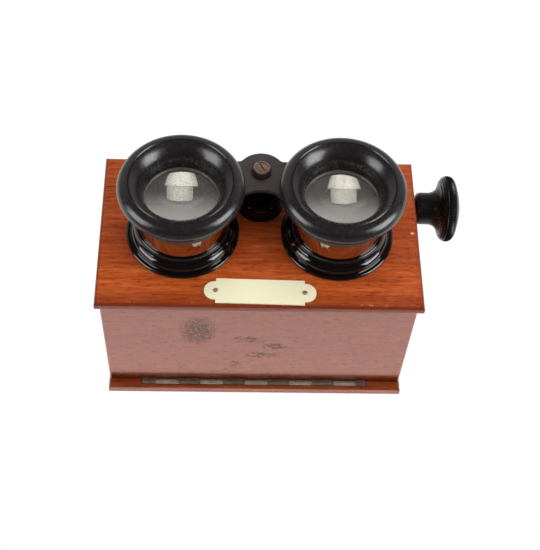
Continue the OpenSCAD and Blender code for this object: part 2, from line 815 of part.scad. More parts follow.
// Spur pinion with a tooth that points at the rack
module pinion() color(brass) difference() {
  base = pinion_r * cos(pressure);
  steps = 5;
  radii = [pinion_root_r, for (i = [0 : steps]) base + (pinion_tip_r - base) * i / steps];
  along_x(-pinion_w / 2, pinion_w / 2) translate([shaft_y, shaft_z]) polygon([
    for (k = [0 : pinion_teeth - 1]) let (mid = 180 + k * 360 / pinion_teeth)
      each [
        for (r = radii) let (a = mid - tooth_half(base, max(r, base))) r * [cos(a), sin(a)],
        for (i = [len(radii) - 1 : -1 : 0])
          let (r = radii[i], a = mid + tooth_half(base, max(r, base))) r * [cos(a), sin(a)]
      ]
  ]);
  translate([-pinion_w / 2 - cut, shaft_y, shaft_z]) rotate([0, 90, 0])
    cylinder(h = pinion_w + 2 * cut, r = shaft_r + fit);
}

module focus_shaft() color(steel) translate([-block_x, shaft_y, shaft_z]) rotate([0, 90, 0])
  cylinder(h = block_x + half_w + knob_bore_l, r = shaft_r);

module shaft_collar() color(brass)
  translate([half_w - wall_t - bush_flange_t - clear - shaft_collar_l, shaft_y, shaft_z]) rotate([0, 90, 0])
    difference() {
      cylinder(h = shaft_collar_l, r = shaft_collar_r);
      translate([0, 0, -cut]) cylinder(h = shaft_collar_l + 2 * cut, r = shaft_r + fit);
    }

// Turned knob: hub, rounded neck, hollow flare, round rim and a domed face
module focus_knob() color(black) translate([half_w + knob_gap, shaft_y, shaft_z]) rotate([0, 90, 0]) difference() {
  shoulder_r = 2.3;
  hub_r = neck_r - shoulder_r;
  shoulder_a = 5.2;
  rim_r = 3.3;
  rim_c = knob_r - rim_r;
  rim_a = knob_l - 5.6;
  sweep = 80;
  flare_r = 1.185 * (rim_c - neck_r);
  flare_a = rim_a - rim_r - 0.3 - flare_r * sin(sweep);
  flare_end = [neck_r + flare_r * (1 - cos(sweep)), flare_a + flare_r * sin(sweep)];
  face_r = 28.9;
  rotate_extrude() {
    square([hub_r, shoulder_a + 0.5]);
    translate([0, shoulder_a]) square([neck_r, rim_a - shoulder_a]);
    translate([hub_r, shoulder_a]) circle(shoulder_r);
    difference() {
      polygon([[hub_r, flare_a], [neck_r, flare_a], flare_end, [hub_r, flare_end.y]]);
      translate([neck_r + flare_r, flare_a]) circle(flare_r);
    }
    polygon([
      [0, flare_end.y - 0.5], [neck_r, flare_end.y - 0.5], flare_end, [rim_c, rim_a - rim_r],
      [rim_c, rim_a + rim_r], [0, rim_a + rim_r]
    ]);
    translate([rim_c, rim_a]) circle(rim_r);
    intersection() {
      translate([0, knob_l - face_r]) circle(face_r, $fn = 128);
      translate([0, rim_a]) square([rim_c + 0.5, knob_l - rim_a]);
    }
  }
  translate([0, 0, -cut]) cylinder(h = knob_bore_l - knob_gap + fit + cut, r = shaft_r + fit);
  translate([0, 0, set_screw_a]) rotate([0, 90, 0]) cylinder(h = neck_r + cut, r = set_screw_r + fit);
}

module knob_set_screw() color(steel) translate([half_w + knob_gap + set_screw_a, shaft_y, shaft_z]) rotate([180, 0, 0])
  translate([0, 0, shaft_r + fit]) difference() {
    cylinder(h = neck_r - shaft_r - 0.6, r = set_screw_r);
    translate([-set_screw_r, -0.2, neck_r - shaft_r - 1.2]) cube([2 * set_screw_r, 0.4, cut]);
  }

// Corners of a door rail in plan: front and rear run the full width, the sides fit between them
function rail_corners(side) =
  side == "front" ? [[-door_x, door_y0], [door_x, -window_y]] :
  side == "rear" ? [[-door_x, window_y], [door_x, door_y1]] :
  side == "left" ? [[-door_x, -window_y], [-window_x, window_y]] :
  [[window_x, -window_y], [door_x, window_y]];

module brads_at(grow = 0) {
  span = brad_grip + brad_bite + pane_gap;
  for (side = [-1, 1]) {
    for (x = [-pane_x / 2, pane_x / 2])
      translate([x, side * (pane_y - brad_grip + span / 2), brad_z]) rotate([90, 0, 0])
        cylinder(h = span + 2 * grow, r = brad_r + grow, center = true);
    translate([side * (pane_x - brad_grip + span / 2), 0, brad_z]) rotate([0, 90, 0])
      cylinder(h = span + 2 * grow, r = brad_r + grow, center = true);
  }
}

// One rail of the base frame, with the rebate for the ground glass and the holes that the brads sit in
module door_rail(side) {
  low = rail_corners(side)[0];
  high = rail_corners(side)[1];
  difference() {
    intersection() {
      moulded_board(-door_x, door_x, door_y0, door_y1, door_t, door_edge_r, door_under_r);
      translate([low.x, low.y, 0]) cube([high.x - low.x, high.y - low.y, door_t]);
    }
    translate([-pane_x - pane_gap, -pane_y - pane_gap, pane_z])
      cube([2 * (pane_x + pane_gap), 2 * (pane_y + pane_gap), door_t]);
    brads_at(fit);
  }
}

module door_rail_front() color(mahogany) difference() {
  door_rail("front");
  translate([hinge_x0 - clear, hinge_y, door_t]) rotate([0, 90, 0])
    cylinder(h = hinge_x1 - hinge_x0 + 2 * clear, r = barrel_r + barrel_gap);
  translate([hinge_x0 - fit, hinge_y, door_t - leaf_t - fit])
    cube([hinge_x1 - hinge_x0 + 2 * fit, leaf_y1 - hinge_y + fit, leaf_t + cut]);
  door_screws_at(fit);
}

module door_rail_rear() color(mahogany) difference() {
  door_rail("rear");
  translate([0, catch_y, door_t - stud_root - fit]) cylinder(h = stud_root + cut, r = stud_r + fit);
}

module door_rail_left() color(mahogany) door_rail("left");

module door_rail_right() color(mahogany) door_rail("right");

module ground_glass() color(glass) translate([-pane_x, -pane_y, pane_z]) cube([2 * pane_x, 2 * pane_y, pane_t]);

module glass_brads() color(brass) brads_at();

top_plate();
front_wall();
rear_wall();
left_wall();
right_wall();
slide_runner_front();
slide_runner_rear();
mask_board();
septum();
flange_left();
flange_right();
flange_nut_left();
flange_nut_right();
post_collar();
focus_block();
block_screws();
shaft_bush();
plaque();
plaque_screws();
hinge_leaf_case();
hinge_pin();
case_hinge_screws();
catch_socket();
sleeve_left();
sleeve_right();
eyecup_left();
eyecup_right();
lens_left();
lens_right();
lens_ring_left();
lens_ring_right();
bridge_plate();
bridge_screw();
bridge_washer();
focus_post();
focus_rack();
focus_knob();
focus_shaft();
pinion();
shaft_collar();
knob_set_screw();
door_rail_front();
door_rail_rear();
door_rail_left();
door_rail_right();
ground_glass();
glass_brads();
hinge_leaf_door();
door_hinge_screws();
catch_stud();
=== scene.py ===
import json
import math

import bmesh
import bpy
from mathutils import Matrix, Vector


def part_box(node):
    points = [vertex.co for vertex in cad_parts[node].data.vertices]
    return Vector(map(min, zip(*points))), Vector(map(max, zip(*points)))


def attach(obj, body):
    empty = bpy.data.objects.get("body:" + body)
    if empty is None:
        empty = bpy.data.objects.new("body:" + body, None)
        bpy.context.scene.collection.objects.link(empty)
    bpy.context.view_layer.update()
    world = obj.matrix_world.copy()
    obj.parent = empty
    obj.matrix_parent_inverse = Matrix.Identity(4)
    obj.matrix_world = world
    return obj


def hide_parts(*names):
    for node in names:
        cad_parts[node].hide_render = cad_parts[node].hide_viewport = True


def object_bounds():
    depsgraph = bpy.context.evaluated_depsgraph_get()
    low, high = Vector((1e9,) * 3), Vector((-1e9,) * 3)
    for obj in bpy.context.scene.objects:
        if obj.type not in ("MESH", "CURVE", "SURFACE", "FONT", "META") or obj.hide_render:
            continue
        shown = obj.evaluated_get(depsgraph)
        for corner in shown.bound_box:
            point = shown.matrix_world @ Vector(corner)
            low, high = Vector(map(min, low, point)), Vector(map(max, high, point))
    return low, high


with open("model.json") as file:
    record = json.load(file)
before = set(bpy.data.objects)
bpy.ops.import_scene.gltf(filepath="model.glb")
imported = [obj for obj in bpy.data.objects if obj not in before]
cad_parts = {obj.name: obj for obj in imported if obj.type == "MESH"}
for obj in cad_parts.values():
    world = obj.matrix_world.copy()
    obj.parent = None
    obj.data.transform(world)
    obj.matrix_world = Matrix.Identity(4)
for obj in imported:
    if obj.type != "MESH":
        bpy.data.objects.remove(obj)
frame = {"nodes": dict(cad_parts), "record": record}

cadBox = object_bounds()
mm = 0.001
tiny = 0.01 * mm
record = frame["record"]
bodyOf = {node: body for body, nodes in record["behaviour"]["bodies"].items() for node in nodes}
slotOf = {row["node"]: row["material_slot"] for row in record["subparts"]}
print("frame loaded,", len(frame["nodes"]), "solids")


# Edit helpers

def deselectAll():
    if bpy.context.mode != "OBJECT":
        bpy.ops.object.mode_set(mode="OBJECT")
    bpy.ops.object.select_all(action="DESELECT")


def pick(piece):
    deselectAll()
    bpy.context.view_layer.objects.active = piece
    piece.select_set(True)


def named(name):
    piece = bpy.context.object
    piece.name = name
    piece.data.name = name
    return piece


def applyPlace():
    bpy.ops.object.transform_apply(location=True, rotation=True, scale=True)


def span(node):
    low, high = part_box(node)
    return low, high, (low + high) / 2, high - low


def arc(centre, radius, start, end, steps):
    angles = [math.radians(start + (end - start) * i / steps) for i in range(steps + 1)]
    return [(centre[0] + radius * math.cos(a), centre[1] + radius * math.sin(a)) for a in angles]


def drawLine(name, points):  # a plane merged to one point, then drawn on point by point
    deselectAll()
    bpy.ops.mesh.primitive_plane_add(size=mm)
    piece = named(name)
    bpy.ops.object.mode_set(mode="EDIT")
    bpy.ops.mesh.select_mode(type="VERT")
    bpy.ops.mesh.select_all(action="SELECT")
    bpy.ops.mesh.merge(type="CENTER")
    bpy.ops.transform.translate(value=points[0])
    for last, point in zip(points, points[1:]):
        bpy.ops.mesh.extrude_vertices_move(TRANSFORM_OT_translate={"value": point - last})
    return piece


def smoothOff(piece, angle=32):
    pick(piece)
    bpy.ops.object.shade_smooth_by_angle(angle=math.radians(angle))


def turn(name, profile, foot, axis=(0, 0, 1), steps=128, smooth=32):  # radius and height in mm
    axis = Vector(axis)
    side = Vector((axis.z, axis.x, axis.y))
    piece = drawLine(name, [foot + (side * r + axis * h) * mm for r, h in profile])
    bpy.ops.mesh.select_all(action="SELECT")
    bpy.ops.mesh.spin(steps=steps, angle=2 * math.pi, center=foot, axis=axis)
    bpy.ops.mesh.select_all(action="SELECT")
    bpy.ops.mesh.remove_doubles(threshold=0.3 * tiny)
    bpy.ops.mesh.normals_make_consistent(inside=False)
    smoothOff(piece, smooth)
    return piece


def roundEdges(piece, wanted, radius, segments):  # wanted(middle of an edge) says which edges
    pick(piece)
    bpy.ops.object.mode_set(mode="EDIT")
    bpy.ops.mesh.select_mode(type="EDGE")
    bpy.ops.mesh.select_all(action="DESELECT")
    mesh = bmesh.from_edit_mesh(piece.data)
    for edge in mesh.edges:
        a, b = (corner.co for corner in edge.verts)
        edge.select_set(wanted((a + b) / 2))
    bmesh.update_edit_mesh(piece.data)
    bpy.ops.mesh.bevel(offset=radius, segments=segments, profile=0.5, affect="EDGES")
    bpy.ops.object.mode_set(mode="OBJECT")


def cutAway(piece, cutter):
    pick(piece)
    modifier = piece.modifiers.new("cut", "BOOLEAN")
    modifier.operation = "DIFFERENCE"
    modifier.solver = "EXACT"
    modifier.object = cutter
    bpy.ops.object.modifier_apply(modifier="cut")
    bpy.data.objects.remove(cutter, do_unlink=True)


def easeEdges(piece, width, angle=40):
    pick(piece)
    modifier = piece.modifiers.new("ease", "BEVEL")
    modifier.width = width
    modifier.segments = 2
    modifier.limit_method = "ANGLE"
    modifier.angle_limit = math.radians(angle)
    modifier.use_clamp_overlap = True
    bpy.ops.object.modifier_apply(modifier="ease")
    smoothOff(piece)
    modifier = piece.modifiers.new("level", "WEIGHTED_NORMAL")
    modifier.keep_sharp = True
    modifier.weight = 100
    bpy.ops.object.modifier_apply(modifier="level")


def pieceName(node):
    words = node.split("_")
    return words[0] + "".join(word.capitalize() for word in words[1:])


def settle(piece, node, material):  # takes its solid's place, on the same body
    piece.data.materials.clear()
    piece.data.materials.append(material)
    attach(piece, bodyOf[node])
    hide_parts(node)


# Material helpers

def addNode(tree, kind, inputs=None, **settings):
    node = tree.nodes.new("ShaderNode" + kind)
    for key, value in settings.items():
        setattr(node, key, value)
    for key, value in (inputs or {}).items():
        if isinstance(value, bpy.types.NodeSocket):
            tree.links.new(value, node.inputs[key])
        else:
            node.inputs[key].default_value = value
    return node


def emptyMaterial(name):
    material = bpy.data.materials.new(name)
    material.use_nodes = True
    material.node_tree.nodes.clear()
    return material, material.node_tree


def objectPlace(tree):
    return addNode(tree, "TexCoord").outputs["Object"]


def parts(tree, vector):  # its x, y and z
    return addNode(tree, "SeparateXYZ", {0: vector}).outputs


def startMaterial(name):
    material, tree = emptyMaterial(name)
    shader = addNode(tree, "BsdfPrincipled")
    addNode(tree, "OutputMaterial", {"Surface": shader.outputs["BSDF"]})
    return material, tree, shader, objectPlace(tree)


def noise(tree, place, scale, detail=4, rough=0.5, bend=0, shift=(0, 0, 0)):
    mapping = addNode(tree, "Mapping", {"Vector": place, "Scale": scale, "Location": shift})
    inputs = {"Vector": mapping.outputs["Vector"], "Scale": 1, "Detail": detail,
              "Roughness": rough, "Distortion": bend}
    return addNode(tree, "TexNoise", inputs).outputs["Fac"]


def remap(tree, value, low, high, toLow=0, toHigh=1, kind="SMOOTHSTEP"):
    inputs = {"Value": value, "From Min": low, "From Max": high, "To Min": toLow, "To Max": toHigh}
    return addNode(tree, "MapRange", inputs, interpolation_type=kind).outputs["Result"]


def calc(tree, operation, a, b=0.5):
    return addNode(tree, "Math", {0: a, 1: b}, operation=operation).outputs[0]


def calcVector(tree, operation, a, lengths):  # lengths in mm
    inputs = {0: a, 1: tuple(length * mm for length in lengths)}
    return addNode(tree, "VectorMath", inputs, operation=operation).outputs[0]


def mixColour(tree, factor, a, b, kind="MIX"):
    inputs = {0: factor, 6: a, 7: b}
    return addNode(tree, "Mix", inputs, data_type="RGBA", blend_type=kind).outputs[2]


def ramp(tree, value, stops, colours):
    node = addNode(tree, "ValToRGB", {"Fac": value})
    points = node.color_ramp.elements
    while len(points) < len(stops):
        points.new(0.5)
    for point, position, colour in zip(points, stops, colours):
        point.position = position
        point.color = (*colour, 1)
    return node.outputs["Color"]


def bump(tree, height, strength, distance, under=None):
    inputs = {"Height": height, "Strength": strength, "Distance": distance}
    if under:
        inputs["Normal"] = under
    return addNode(tree, "Bump", inputs).outputs["Normal"]


def linear(value):
    return value / 12.92 if value <= 10 / 255 else ((value + 0.055) / 1.055) ** 2.4


def rgb(*screen):  # screen colour to linear
    return tuple(linear(value / 255) for value in screen)


# Wood: grain scales are along and across the board, noises are detail, roughness and distortion

noiseSpan = (0.2, 0.8)  # where nearly all of a noise's values lie
mahogany = {
    "dark": rgb(128, 50, 16), "middle": rgb(162, 70, 28), "light": rgb(192, 98, 44),
    "pore": rgb(70, 22, 10), "worn": rgb(216, 178, 146), "stain": rgb(84, 62, 44),
    # foot and rim are painted shade: foot darkens the front wall's foot and the base ledge, rim
    # darkens the plate's roundings and front face, and the top towards its front edge
    "foot": rgb(56, 16, 8), "rim": rgb(96, 32, 12),
    "bands": (5, 46), "bandNoise": (3, 0.5, 0.6), "bandShare": 0.35,
    "streaks": (50, 640), "streakNoise": (7, 0.62, 0.3), "stops": (0.33, 0.5, 0.68),
    "pores": (260, 2100), "poreNoise": (2, 0.5, 0), "poreCut": (0.57, 0.66), "poreShare": 0.7,
    "poreDull": 0.12, "poreBump": 0.15, "poreDepth": 0.06 * mm,
    "markNoise": (3, 0.6, 0), "markCore": 0.35, "markEdge": 0.08,
    "markDull": 0.35, "markBump": 0.8, "markDepth": 0.4 * mm, "shift": (1.7, 3.1, 2.3),
    "roughness": (0.12, 0.2), "ior": 1.9, "topIor": 1.5,
}


def grained(scale, along):  # puts the long side of a grain scale on the board's own axis
    return tuple(scale[0] if axis == along else scale[1] for axis in "xyz")


def mark(centre, reach, colour, share, grain=None, cutoff=0):  # centre and reach in mm
    return centre, reach, mahogany[colour], share, grain, cutoff


def spot(tree, place, centre, reach):  # one at the centre, falling to nothing at the reach
    off = calcVector(tree, "SUBTRACT", place, centre)
    off = calcVector(tree, "DIVIDE", off, reach)
    away = addNode(tree, "VectorMath", {0: off}, operation="LENGTH").outputs["Value"]
    return remap(tree, away, mahogany["markCore"], 1, 1, 0)


def makeMahogany(name, along, seed, marks=(), tone=1.0, ior=mahogany["ior"], figured=1.0):
    m = mahogany
    material, tree, shader, place = startMaterial(name)
    shift = tuple(seed * step for step in m["shift"])  # no two boards alike
    bands = noise(tree, place, grained(m["bands"], along), *m["bandNoise"], shift)
    streaks = noise(tree, place, grained(m["streaks"], along), *m["streakNoise"], shift)
    pores = noise(tree, place, grained(m["pores"], along), *m["poreNoise"], shift)
    banded = calc(tree, "MULTIPLY", bands, m["bandShare"])
    streaked = calc(tree, "MULTIPLY", streaks, 1 - m["bandShare"])
    figure = calc(tree, "ADD", banded, streaked)
    figure = remap(tree, figure, 0, 1, 0.5 - figured / 2, 0.5 + figured / 2, "LINEAR")
    wood = ramp(tree, figure, m["stops"], (m["dark"], m["middle"], m["light"]))
    poreMask = remap(tree, pores, *m["poreCut"])
    poreShade = calc(tree, "MULTIPLY", poreMask, m["poreShare"])
    wood = mixColour(tree, poreShade, wood, (*m["pore"], 1))
    dull = remap(tree, streaks, *noiseSpan, *m["roughness"])
    dull = calc(tree, "ADD", dull, calc(tree, "MULTIPLY", poreMask, m["poreDull"]))
    pits = bump(tree, poreMask, m["poreBump"], -m["poreDepth"])
    for centre, reach, colour, share, grain, cutoff in marks:
        mask = spot(tree, place, centre, reach)
        if grain:
            specks = noise(tree, place, grain, *m["markNoise"], shift)
            specks = remap(tree, specks, cutoff, cutoff + m["markEdge"])
            mask = calc(tree, "MULTIPLY", mask, specks)
        mask = calc(tree, "MULTIPLY", mask, share)
        wood = mixColour(tree, mask, wood, (*colour, 1))
        if grain:
            dull = calc(tree, "ADD", dull, calc(tree, "MULTIPLY", mask, m["markDull"]))
            pits = bump(tree, mask, m["markBump"], -m["markDepth"], pits)
    if tone < 1:
        wood = mixColour(tree, 1, wood, (tone, tone, tone, 1), "MULTIPLY")
    tree.links.new(wood, shader.inputs["Base Color"])
    tree.links.new(dull, shader.inputs["Roughness"])
    tree.links.new(pits, shader.inputs["Normal"])
    shader.inputs["IOR"].default_value = ior
    return material


plateLow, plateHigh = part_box("top_plate")
deckZ = plateHigh.z
edgeX, edgeY, deck = plateHigh.x / mm, plateLow.y / mm, deckZ / mm
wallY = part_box("front_wall")[0].y / mm
allAlong = 400  # reach of a mark that runs the whole length of a board

frontMarks = [
    mark((-25.8, wallY, 50.8), (9.5, 6, 14), "stain", 0.95, (1000, 1000, 800), 0.47),
    # foot mark: painted shade and painted reflection of the dark ledge along the wall's lower part
    mark((0, wallY, 5), (allAlong, 4, 9.5), "foot", 0.9),
    mark((-5, wallY, 43.6), (8, 4, 3.6), "stain", 0.75, (600, 900, 900), 0.5),
    mark((7.6, wallY, 38.2), (7, 4, 3.2), "stain", 0.85, (450, 900, 900), 0.46),
    mark((1.4, wallY, 30.2), (9, 4, 3.4), "stain", 0.75, (600, 900, 900), 0.5),
    mark((-9.6, wallY, 21.8), (2.6, 4, 4), "stain", 0.75, (900, 900, 600), 0.5),
    mark((-3.3, wallY, 44.4), (2.4, 2, 1.0), "pore", 0.5),
    mark((12.5, wallY, 34.0), (1.6, 2, 0.6), "pore", 0.5),
    mark((2.3, wallY, 31.9), (0.7, 2, 1.8), "pore", 0.5),
    mark((-7.3, wallY, 22.2), (0.9, 2, 1.6), "pore", 0.5),
    mark((-34.4, wallY, 21.5), (1.4, 2, 0.8), "pore", 0.6),
    mark((53.6, wallY, 25.7), (1.0, 2, 0.8), "pore", 0.6),
]
topMarks = [
    # rim marks: painted shade on the plate's front and side roundings and its front face; the first
    # one darkens the top towards its front edge
    mark((0, edgeY + 1.8, deck), (allAlong, 7, 4), "rim", 0.4),
    mark((0, edgeY + 0.4, deck - 0.5), (allAlong, 1.3, 1.3), "rim", 0.7),
    mark((0, edgeY, deck - 3), (allAlong, 1.4, 2.4), "rim", 0.7),
    mark((edgeX - 0.4, 0, deck - 0.5), (1.3, allAlong, 1.3), "rim", 0.7),
    mark((0.4 - edgeX, 0, deck - 0.5), (1.3, allAlong, 1.3), "rim", 0.7),
    mark((0, edgeY + 1.2, deck - 0.2), (90, 0.8, 0.8), "worn", 0.3, (420, 700, 700), 0.6),
    mark((edgeX - 2.7, -0.4, deck), (1.1, 0.75, 1.2), "worn", 0.95),
    mark((1.5 - edgeX, 21.8, deck), (9, 0.35, 1.5), "pore", 0.8),
    mark((edgeX - 2.1, 0, deck), (0.3, 60, 1.5), "pore", 0.3, (500, 90, 500), 0.45),
]
baseMarks = [
    # foot marks: painted shade on the ledge's rounded front edge and painted shadow on the ledge top
    # behind it
    mark((0, -37.1, 5.6), (allAlong, 1.3, 1.3), "foot", 0.45),
    mark((0, -34.5, 6.3), (allAlong, 4.2, 1.2), "foot", 0.6),
]


# Other finishes

plain = {"noise": (5, 0.6), "stops": (0.3, 0.7), "dull": (0.8, 1.25), "bump": 0.1}
glass = {"dust": 300, "noise": (4, 0.6), "stops": (0.3, 0.7), "dusty": 0.94, "ior": 1.5}
lensLook = {"colour": rgb(205, 203, 196), "clear": 0.9, "silver": 0.5, "silverDepth": 1.9 * mm,
            "veil": (-16 * mm, 4 * mm, 0.3)}


def makePlain(name, colour, roughness, metallic=0.0, mottle=0.15, grain=900, relief=0.02, ior=1.5):
    material, tree, shader, place = startMaterial(name)
    cloud = noise(tree, place, (grain, grain, grain), *plain["noise"])
    pale = tuple(min(1, c * (1 + mottle)) for c in colour)
    deep = tuple(c * (1 - mottle) for c in colour)
    tint = ramp(tree, cloud, plain["stops"], (deep, pale))
    dullness = (roughness * share for share in plain["dull"])
    dull = remap(tree, cloud, *noiseSpan, *dullness)
    tree.links.new(tint, shader.inputs["Base Color"])
    tree.links.new(dull, shader.inputs["Roughness"])
    if relief:
        tree.links.new(bump(tree, cloud, plain["bump"], relief * mm), shader.inputs["Normal"])
    shader.inputs["Metallic"].default_value = metallic
    shader.inputs["IOR"].default_value = ior
    return material


def makeGlass(name, colour, clear, roughness):
    material, tree, shader, place = startMaterial(name)
    dust = noise(tree, place, (glass["dust"],) * 3, *glass["noise"])
    dusty = tuple(c * glass["dusty"] for c in colour)
    tint = ramp(tree, dust, glass["stops"], (dusty, colour))
    tree.links.new(tint, shader.inputs["Base Color"])
    shader.inputs["Roughness"].default_value = roughness
    shader.inputs["Transmission Weight"].default_value = clear
    shader.inputs["IOR"].default_value = glass["ior"]
    return material, tree, shader, place


def makeLensGlass():  # veiled towards the front, and half mirrored on its round lower face
    colour, clear = lensLook["colour"], lensLook["clear"]
    material, tree, shader, place = makeGlass("lensGlass", colour, clear, 0.0)
    x, y, z = parts(tree, place)
    below = calc(tree, "LESS_THAN", z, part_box("lens_left")[1].z - lensLook["silverDepth"])
    silver = calc(tree, "MULTIPLY", below, lensLook["silver"])
    veil = remap(tree, y, *lensLook["veil"], clear)
    tree.links.new(silver, shader.inputs["Metallic"])
    tree.links.new(veil, shader.inputs["Transmission Weight"])
    return material


finish = {
    "mahoganyX": makeMahogany("mahoganyX", "x", 0),
    "mahoganyY": makeMahogany("mahoganyY", "y", 1),
    "mahoganyTop": makeMahogany("mahoganyTop", "x", 2, topMarks, ior=mahogany["topIor"]),
    # tone 0.85 darkens the whole front board: painted shade
    "mahoganyFront": makeMahogany("mahoganyFront", "x", 3, frontMarks, 0.85, figured=0.55),
    "mahoganyBase": makeMahogany("mahoganyBase", "x", 4, baseMarks),
    "mahoganyBaseEnd": makeMahogany("mahoganyBaseEnd", "y", 5, tone=0.5),
    # colour, roughness, then metal, mottle, grain, relief and ior where they aren't the usual
    "dark_wood": makePlain("darkWood", rgb(34, 28, 25), 0.7),
    "flangeEbonite": makePlain("flangeEbonite", rgb(9, 7, 8), 0.1, ior=1.65),
    "ebonite": makePlain("ebonite", rgb(9, 7, 8), 0.11, ior=1.4),
    "knobEbonite": makePlain("knobEbonite", rgb(18, 15, 16), 0.26, ior=1.33),
    "cupEbonite": makePlain("cupEbonite", rgb(26, 23, 24), 0.25, 0.0, 0.12, 500, 0.0, 1.6),
    "nickel": makePlain("nickel", rgb(178, 170, 166), 0.05, 1.0, 0.03),
    # black metal's grey base colour is partly the paint's own dark colour, partly painted sheen
    "black_metal": makePlain("blackMetal", rgb(64, 58, 56), 0.5),
    "brass": makePlain("brass", rgb(196, 160, 92), 0.3, 1.0),
    "hinge_brass": makePlain("hingeBrass", rgb(176, 158, 136), 0.36, 0.7, 0.2, 500),
    "hingeDark": makePlain("hingeDark", rgb(122, 100, 86), 0.42, 0.7, 0.25, 500),
    "steel": makePlain("steel", rgb(170, 170, 172), 0.3, 1.0),
    "ringMetal": makePlain("ringMetal", rgb(120, 116, 110), 0.35, 0.5, 0.2),
    "bronze": makePlain("bronze", rgb(142, 120, 106), 0.32, 0.5, 0.35, 1600),
    "darkBronze": makePlain("darkBronze", rgb(84, 70, 62), 0.36, 0.5, 0.3, 1600),
    "ivory": makePlain("ivory", rgb(213, 207, 175), 0.35, 0.0, 0.015),
    "lens_glass": makeLensGlass(),
    "ground_glass": makeGlass("groundGlass", rgb(235, 238, 236), 0.8, 0.5)[0],
}
print("finishes made:", len(finish))


# Top plate, rounded above and below and drilled for the eyepieces and the post

topPlate = {"topRound": 1.5 * mm, "underRound": 2.0 * mm, "easing": 0.25 * mm, "drill": 10 * mm,
            "sleeveGap": 1.62 * mm, "collarWall": 3.28 * mm}


def drillPlate(plate, node, radius, sides):
    middle = span(node)[2]
    place = (middle.x, middle.y, plateLow.z - mm + topPlate["drill"] / 2)
    deselectAll()
    bpy.ops.mesh.primitive_cylinder_add(vertices=sides, radius=radius, depth=topPlate["drill"],
                                        location=place)
    cutter = named("drill")
    applyPlace()
    cutAway(plate, cutter)


def makeTopPlate():
    deselectAll()
    bpy.ops.mesh.primitive_cube_add(size=1, location=(plateLow + plateHigh) / 2)
    plate = named("topPlate")
    plate.scale = plateHigh - plateLow
    applyPlace()
    roundEdges(plate, lambda p: p.z > plateHigh.z - tiny, topPlate["topRound"], 6)
    roundEdges(plate, lambda p: p.z < plateLow.z + tiny, topPlate["underRound"], 8)
    for side in ("left", "right"):
        sleeve = span("sleeve_" + side)[3]
        drillPlate(plate, "flange_" + side, sleeve.x / 2 + topPlate["sleeveGap"], 128)
    collar = span("post_collar")[3]
    drillPlate(plate, "post_collar", collar.x / 2 - topPlate["collarWall"], 64)
    easeEdges(plate, topPlate["easing"], 50)
    return plate


settle(makeTopPlate(), "top_plate", finish["mahoganyTop"])
print("top plate rounded and drilled")


# Turned pieces: radius and height in mm, height over the deck

def deckFoot(node):
    middle = span(node)[2]
    return Vector((middle.x, middle.y, deckZ))


def aboveDeck(node):
    low, high, middle, size = span(node)
    return (low.z - deckZ) / mm, (high.z - deckZ) / mm, size.x / 2 / mm


def cupProfile():
    cup = {"rim": 4.4, "neck": 20.0, "socket": 18.62, "socketDepth": 2.2, "bore": 15.3,
           "boreTop": 26.6, "flare": 62, "grooveWidth": 0.7, "grooveDepth": 0.45, "lip": 0.2,
           "easing": 0.25}
    foot, top, outer = aboveDeck("eyecup_left")
    rim = (outer - cup["rim"], top - cup["rim"])
    flare = math.radians(cup["flare"])
    flareEnd = rim[0] + cup["rim"] * math.cos(flare), rim[1] - cup["rim"] * math.sin(flare)
    neckTop = flareEnd[1] - (flareEnd[0] - cup["neck"]) / math.tan(flare)
    width = rim[0] - cup["grooveWidth"] - cup["bore"]
    rise = top - cup["lip"] - cup["boreTop"]
    bowl = (width ** 2 + rise ** 2) / (2 * width)  # one curve from the groove down to the bore
    bowlEnd = math.degrees(math.asin(rise / bowl))
    shelf = foot + cup["socketDepth"]
    return [
        (cup["socket"], foot), (cup["neck"] - cup["easing"], foot),
        (cup["neck"], foot + cup["easing"]), (cup["neck"], neckTop),
        *arc(rim, cup["rim"], -cup["flare"], 90, 26),
        (rim[0] - cup["grooveWidth"] / 2, top - cup["grooveDepth"]),
        *arc((cup["bore"] + bowl, cup["boreTop"]), bowl, 180 - bowlEnd, 180, 24),
        (cup["bore"], shelf), (cup["socket"], shelf), (cup["socket"], foot),
    ]


def flangeProfile():
    flange = {"bead": 0.8, "ovolo": 4.0, "ovoloFrom": 1.5, "groove": 1.0, "grooveEase": 0.15,
              "bore": 18.65, "boreEase": 0.1, "spigot": 20.2, "step": 20.4, "stepDrop": 2.3,
              "stepEase": (0.1, 0.12), "cove": (0.35, 0.85), "lip": 19.4, "lipDrop": 0.8,
              "round": 0.7}
    low, top, outer = aboveDeck("flange_left")
    beadX = outer - flange["bead"]
    edge = beadX - flange["groove"]
    ovolo = (edge - flange["ovolo"], 2 * flange["bead"])
    stepAngle = math.degrees(math.acos((flange["step"] - ovolo[0]) / flange["ovolo"]))
    step = top - flange["stepDrop"]
    inward, down = flange["stepEase"]
    coveOut, coveUp = flange["cove"]
    lipRound = (flange["lip"] - flange["round"], top - flange["round"])
    return [
        (flange["bore"], low), (flange["spigot"], low), (flange["spigot"], 0), (beadX, 0),
        *arc((beadX, flange["bead"]), flange["bead"], -90, 90, 12),
        (edge + flange["grooveEase"], 2 * flange["bead"]),
        *arc(ovolo, flange["ovolo"], flange["ovoloFrom"], stepAngle, 14),
        (flange["step"], step - down), (flange["step"] - inward, step),
        (flange["lip"] + coveOut, step + coveUp), (flange["lip"], top - flange["lipDrop"]),
        *arc(lipRound, flange["round"], 0, 90, 6),
        (flange["bore"] + flange["boreEase"], top), (flange["bore"], top - flange["boreEase"]),
        (flange["bore"], low),
    ]


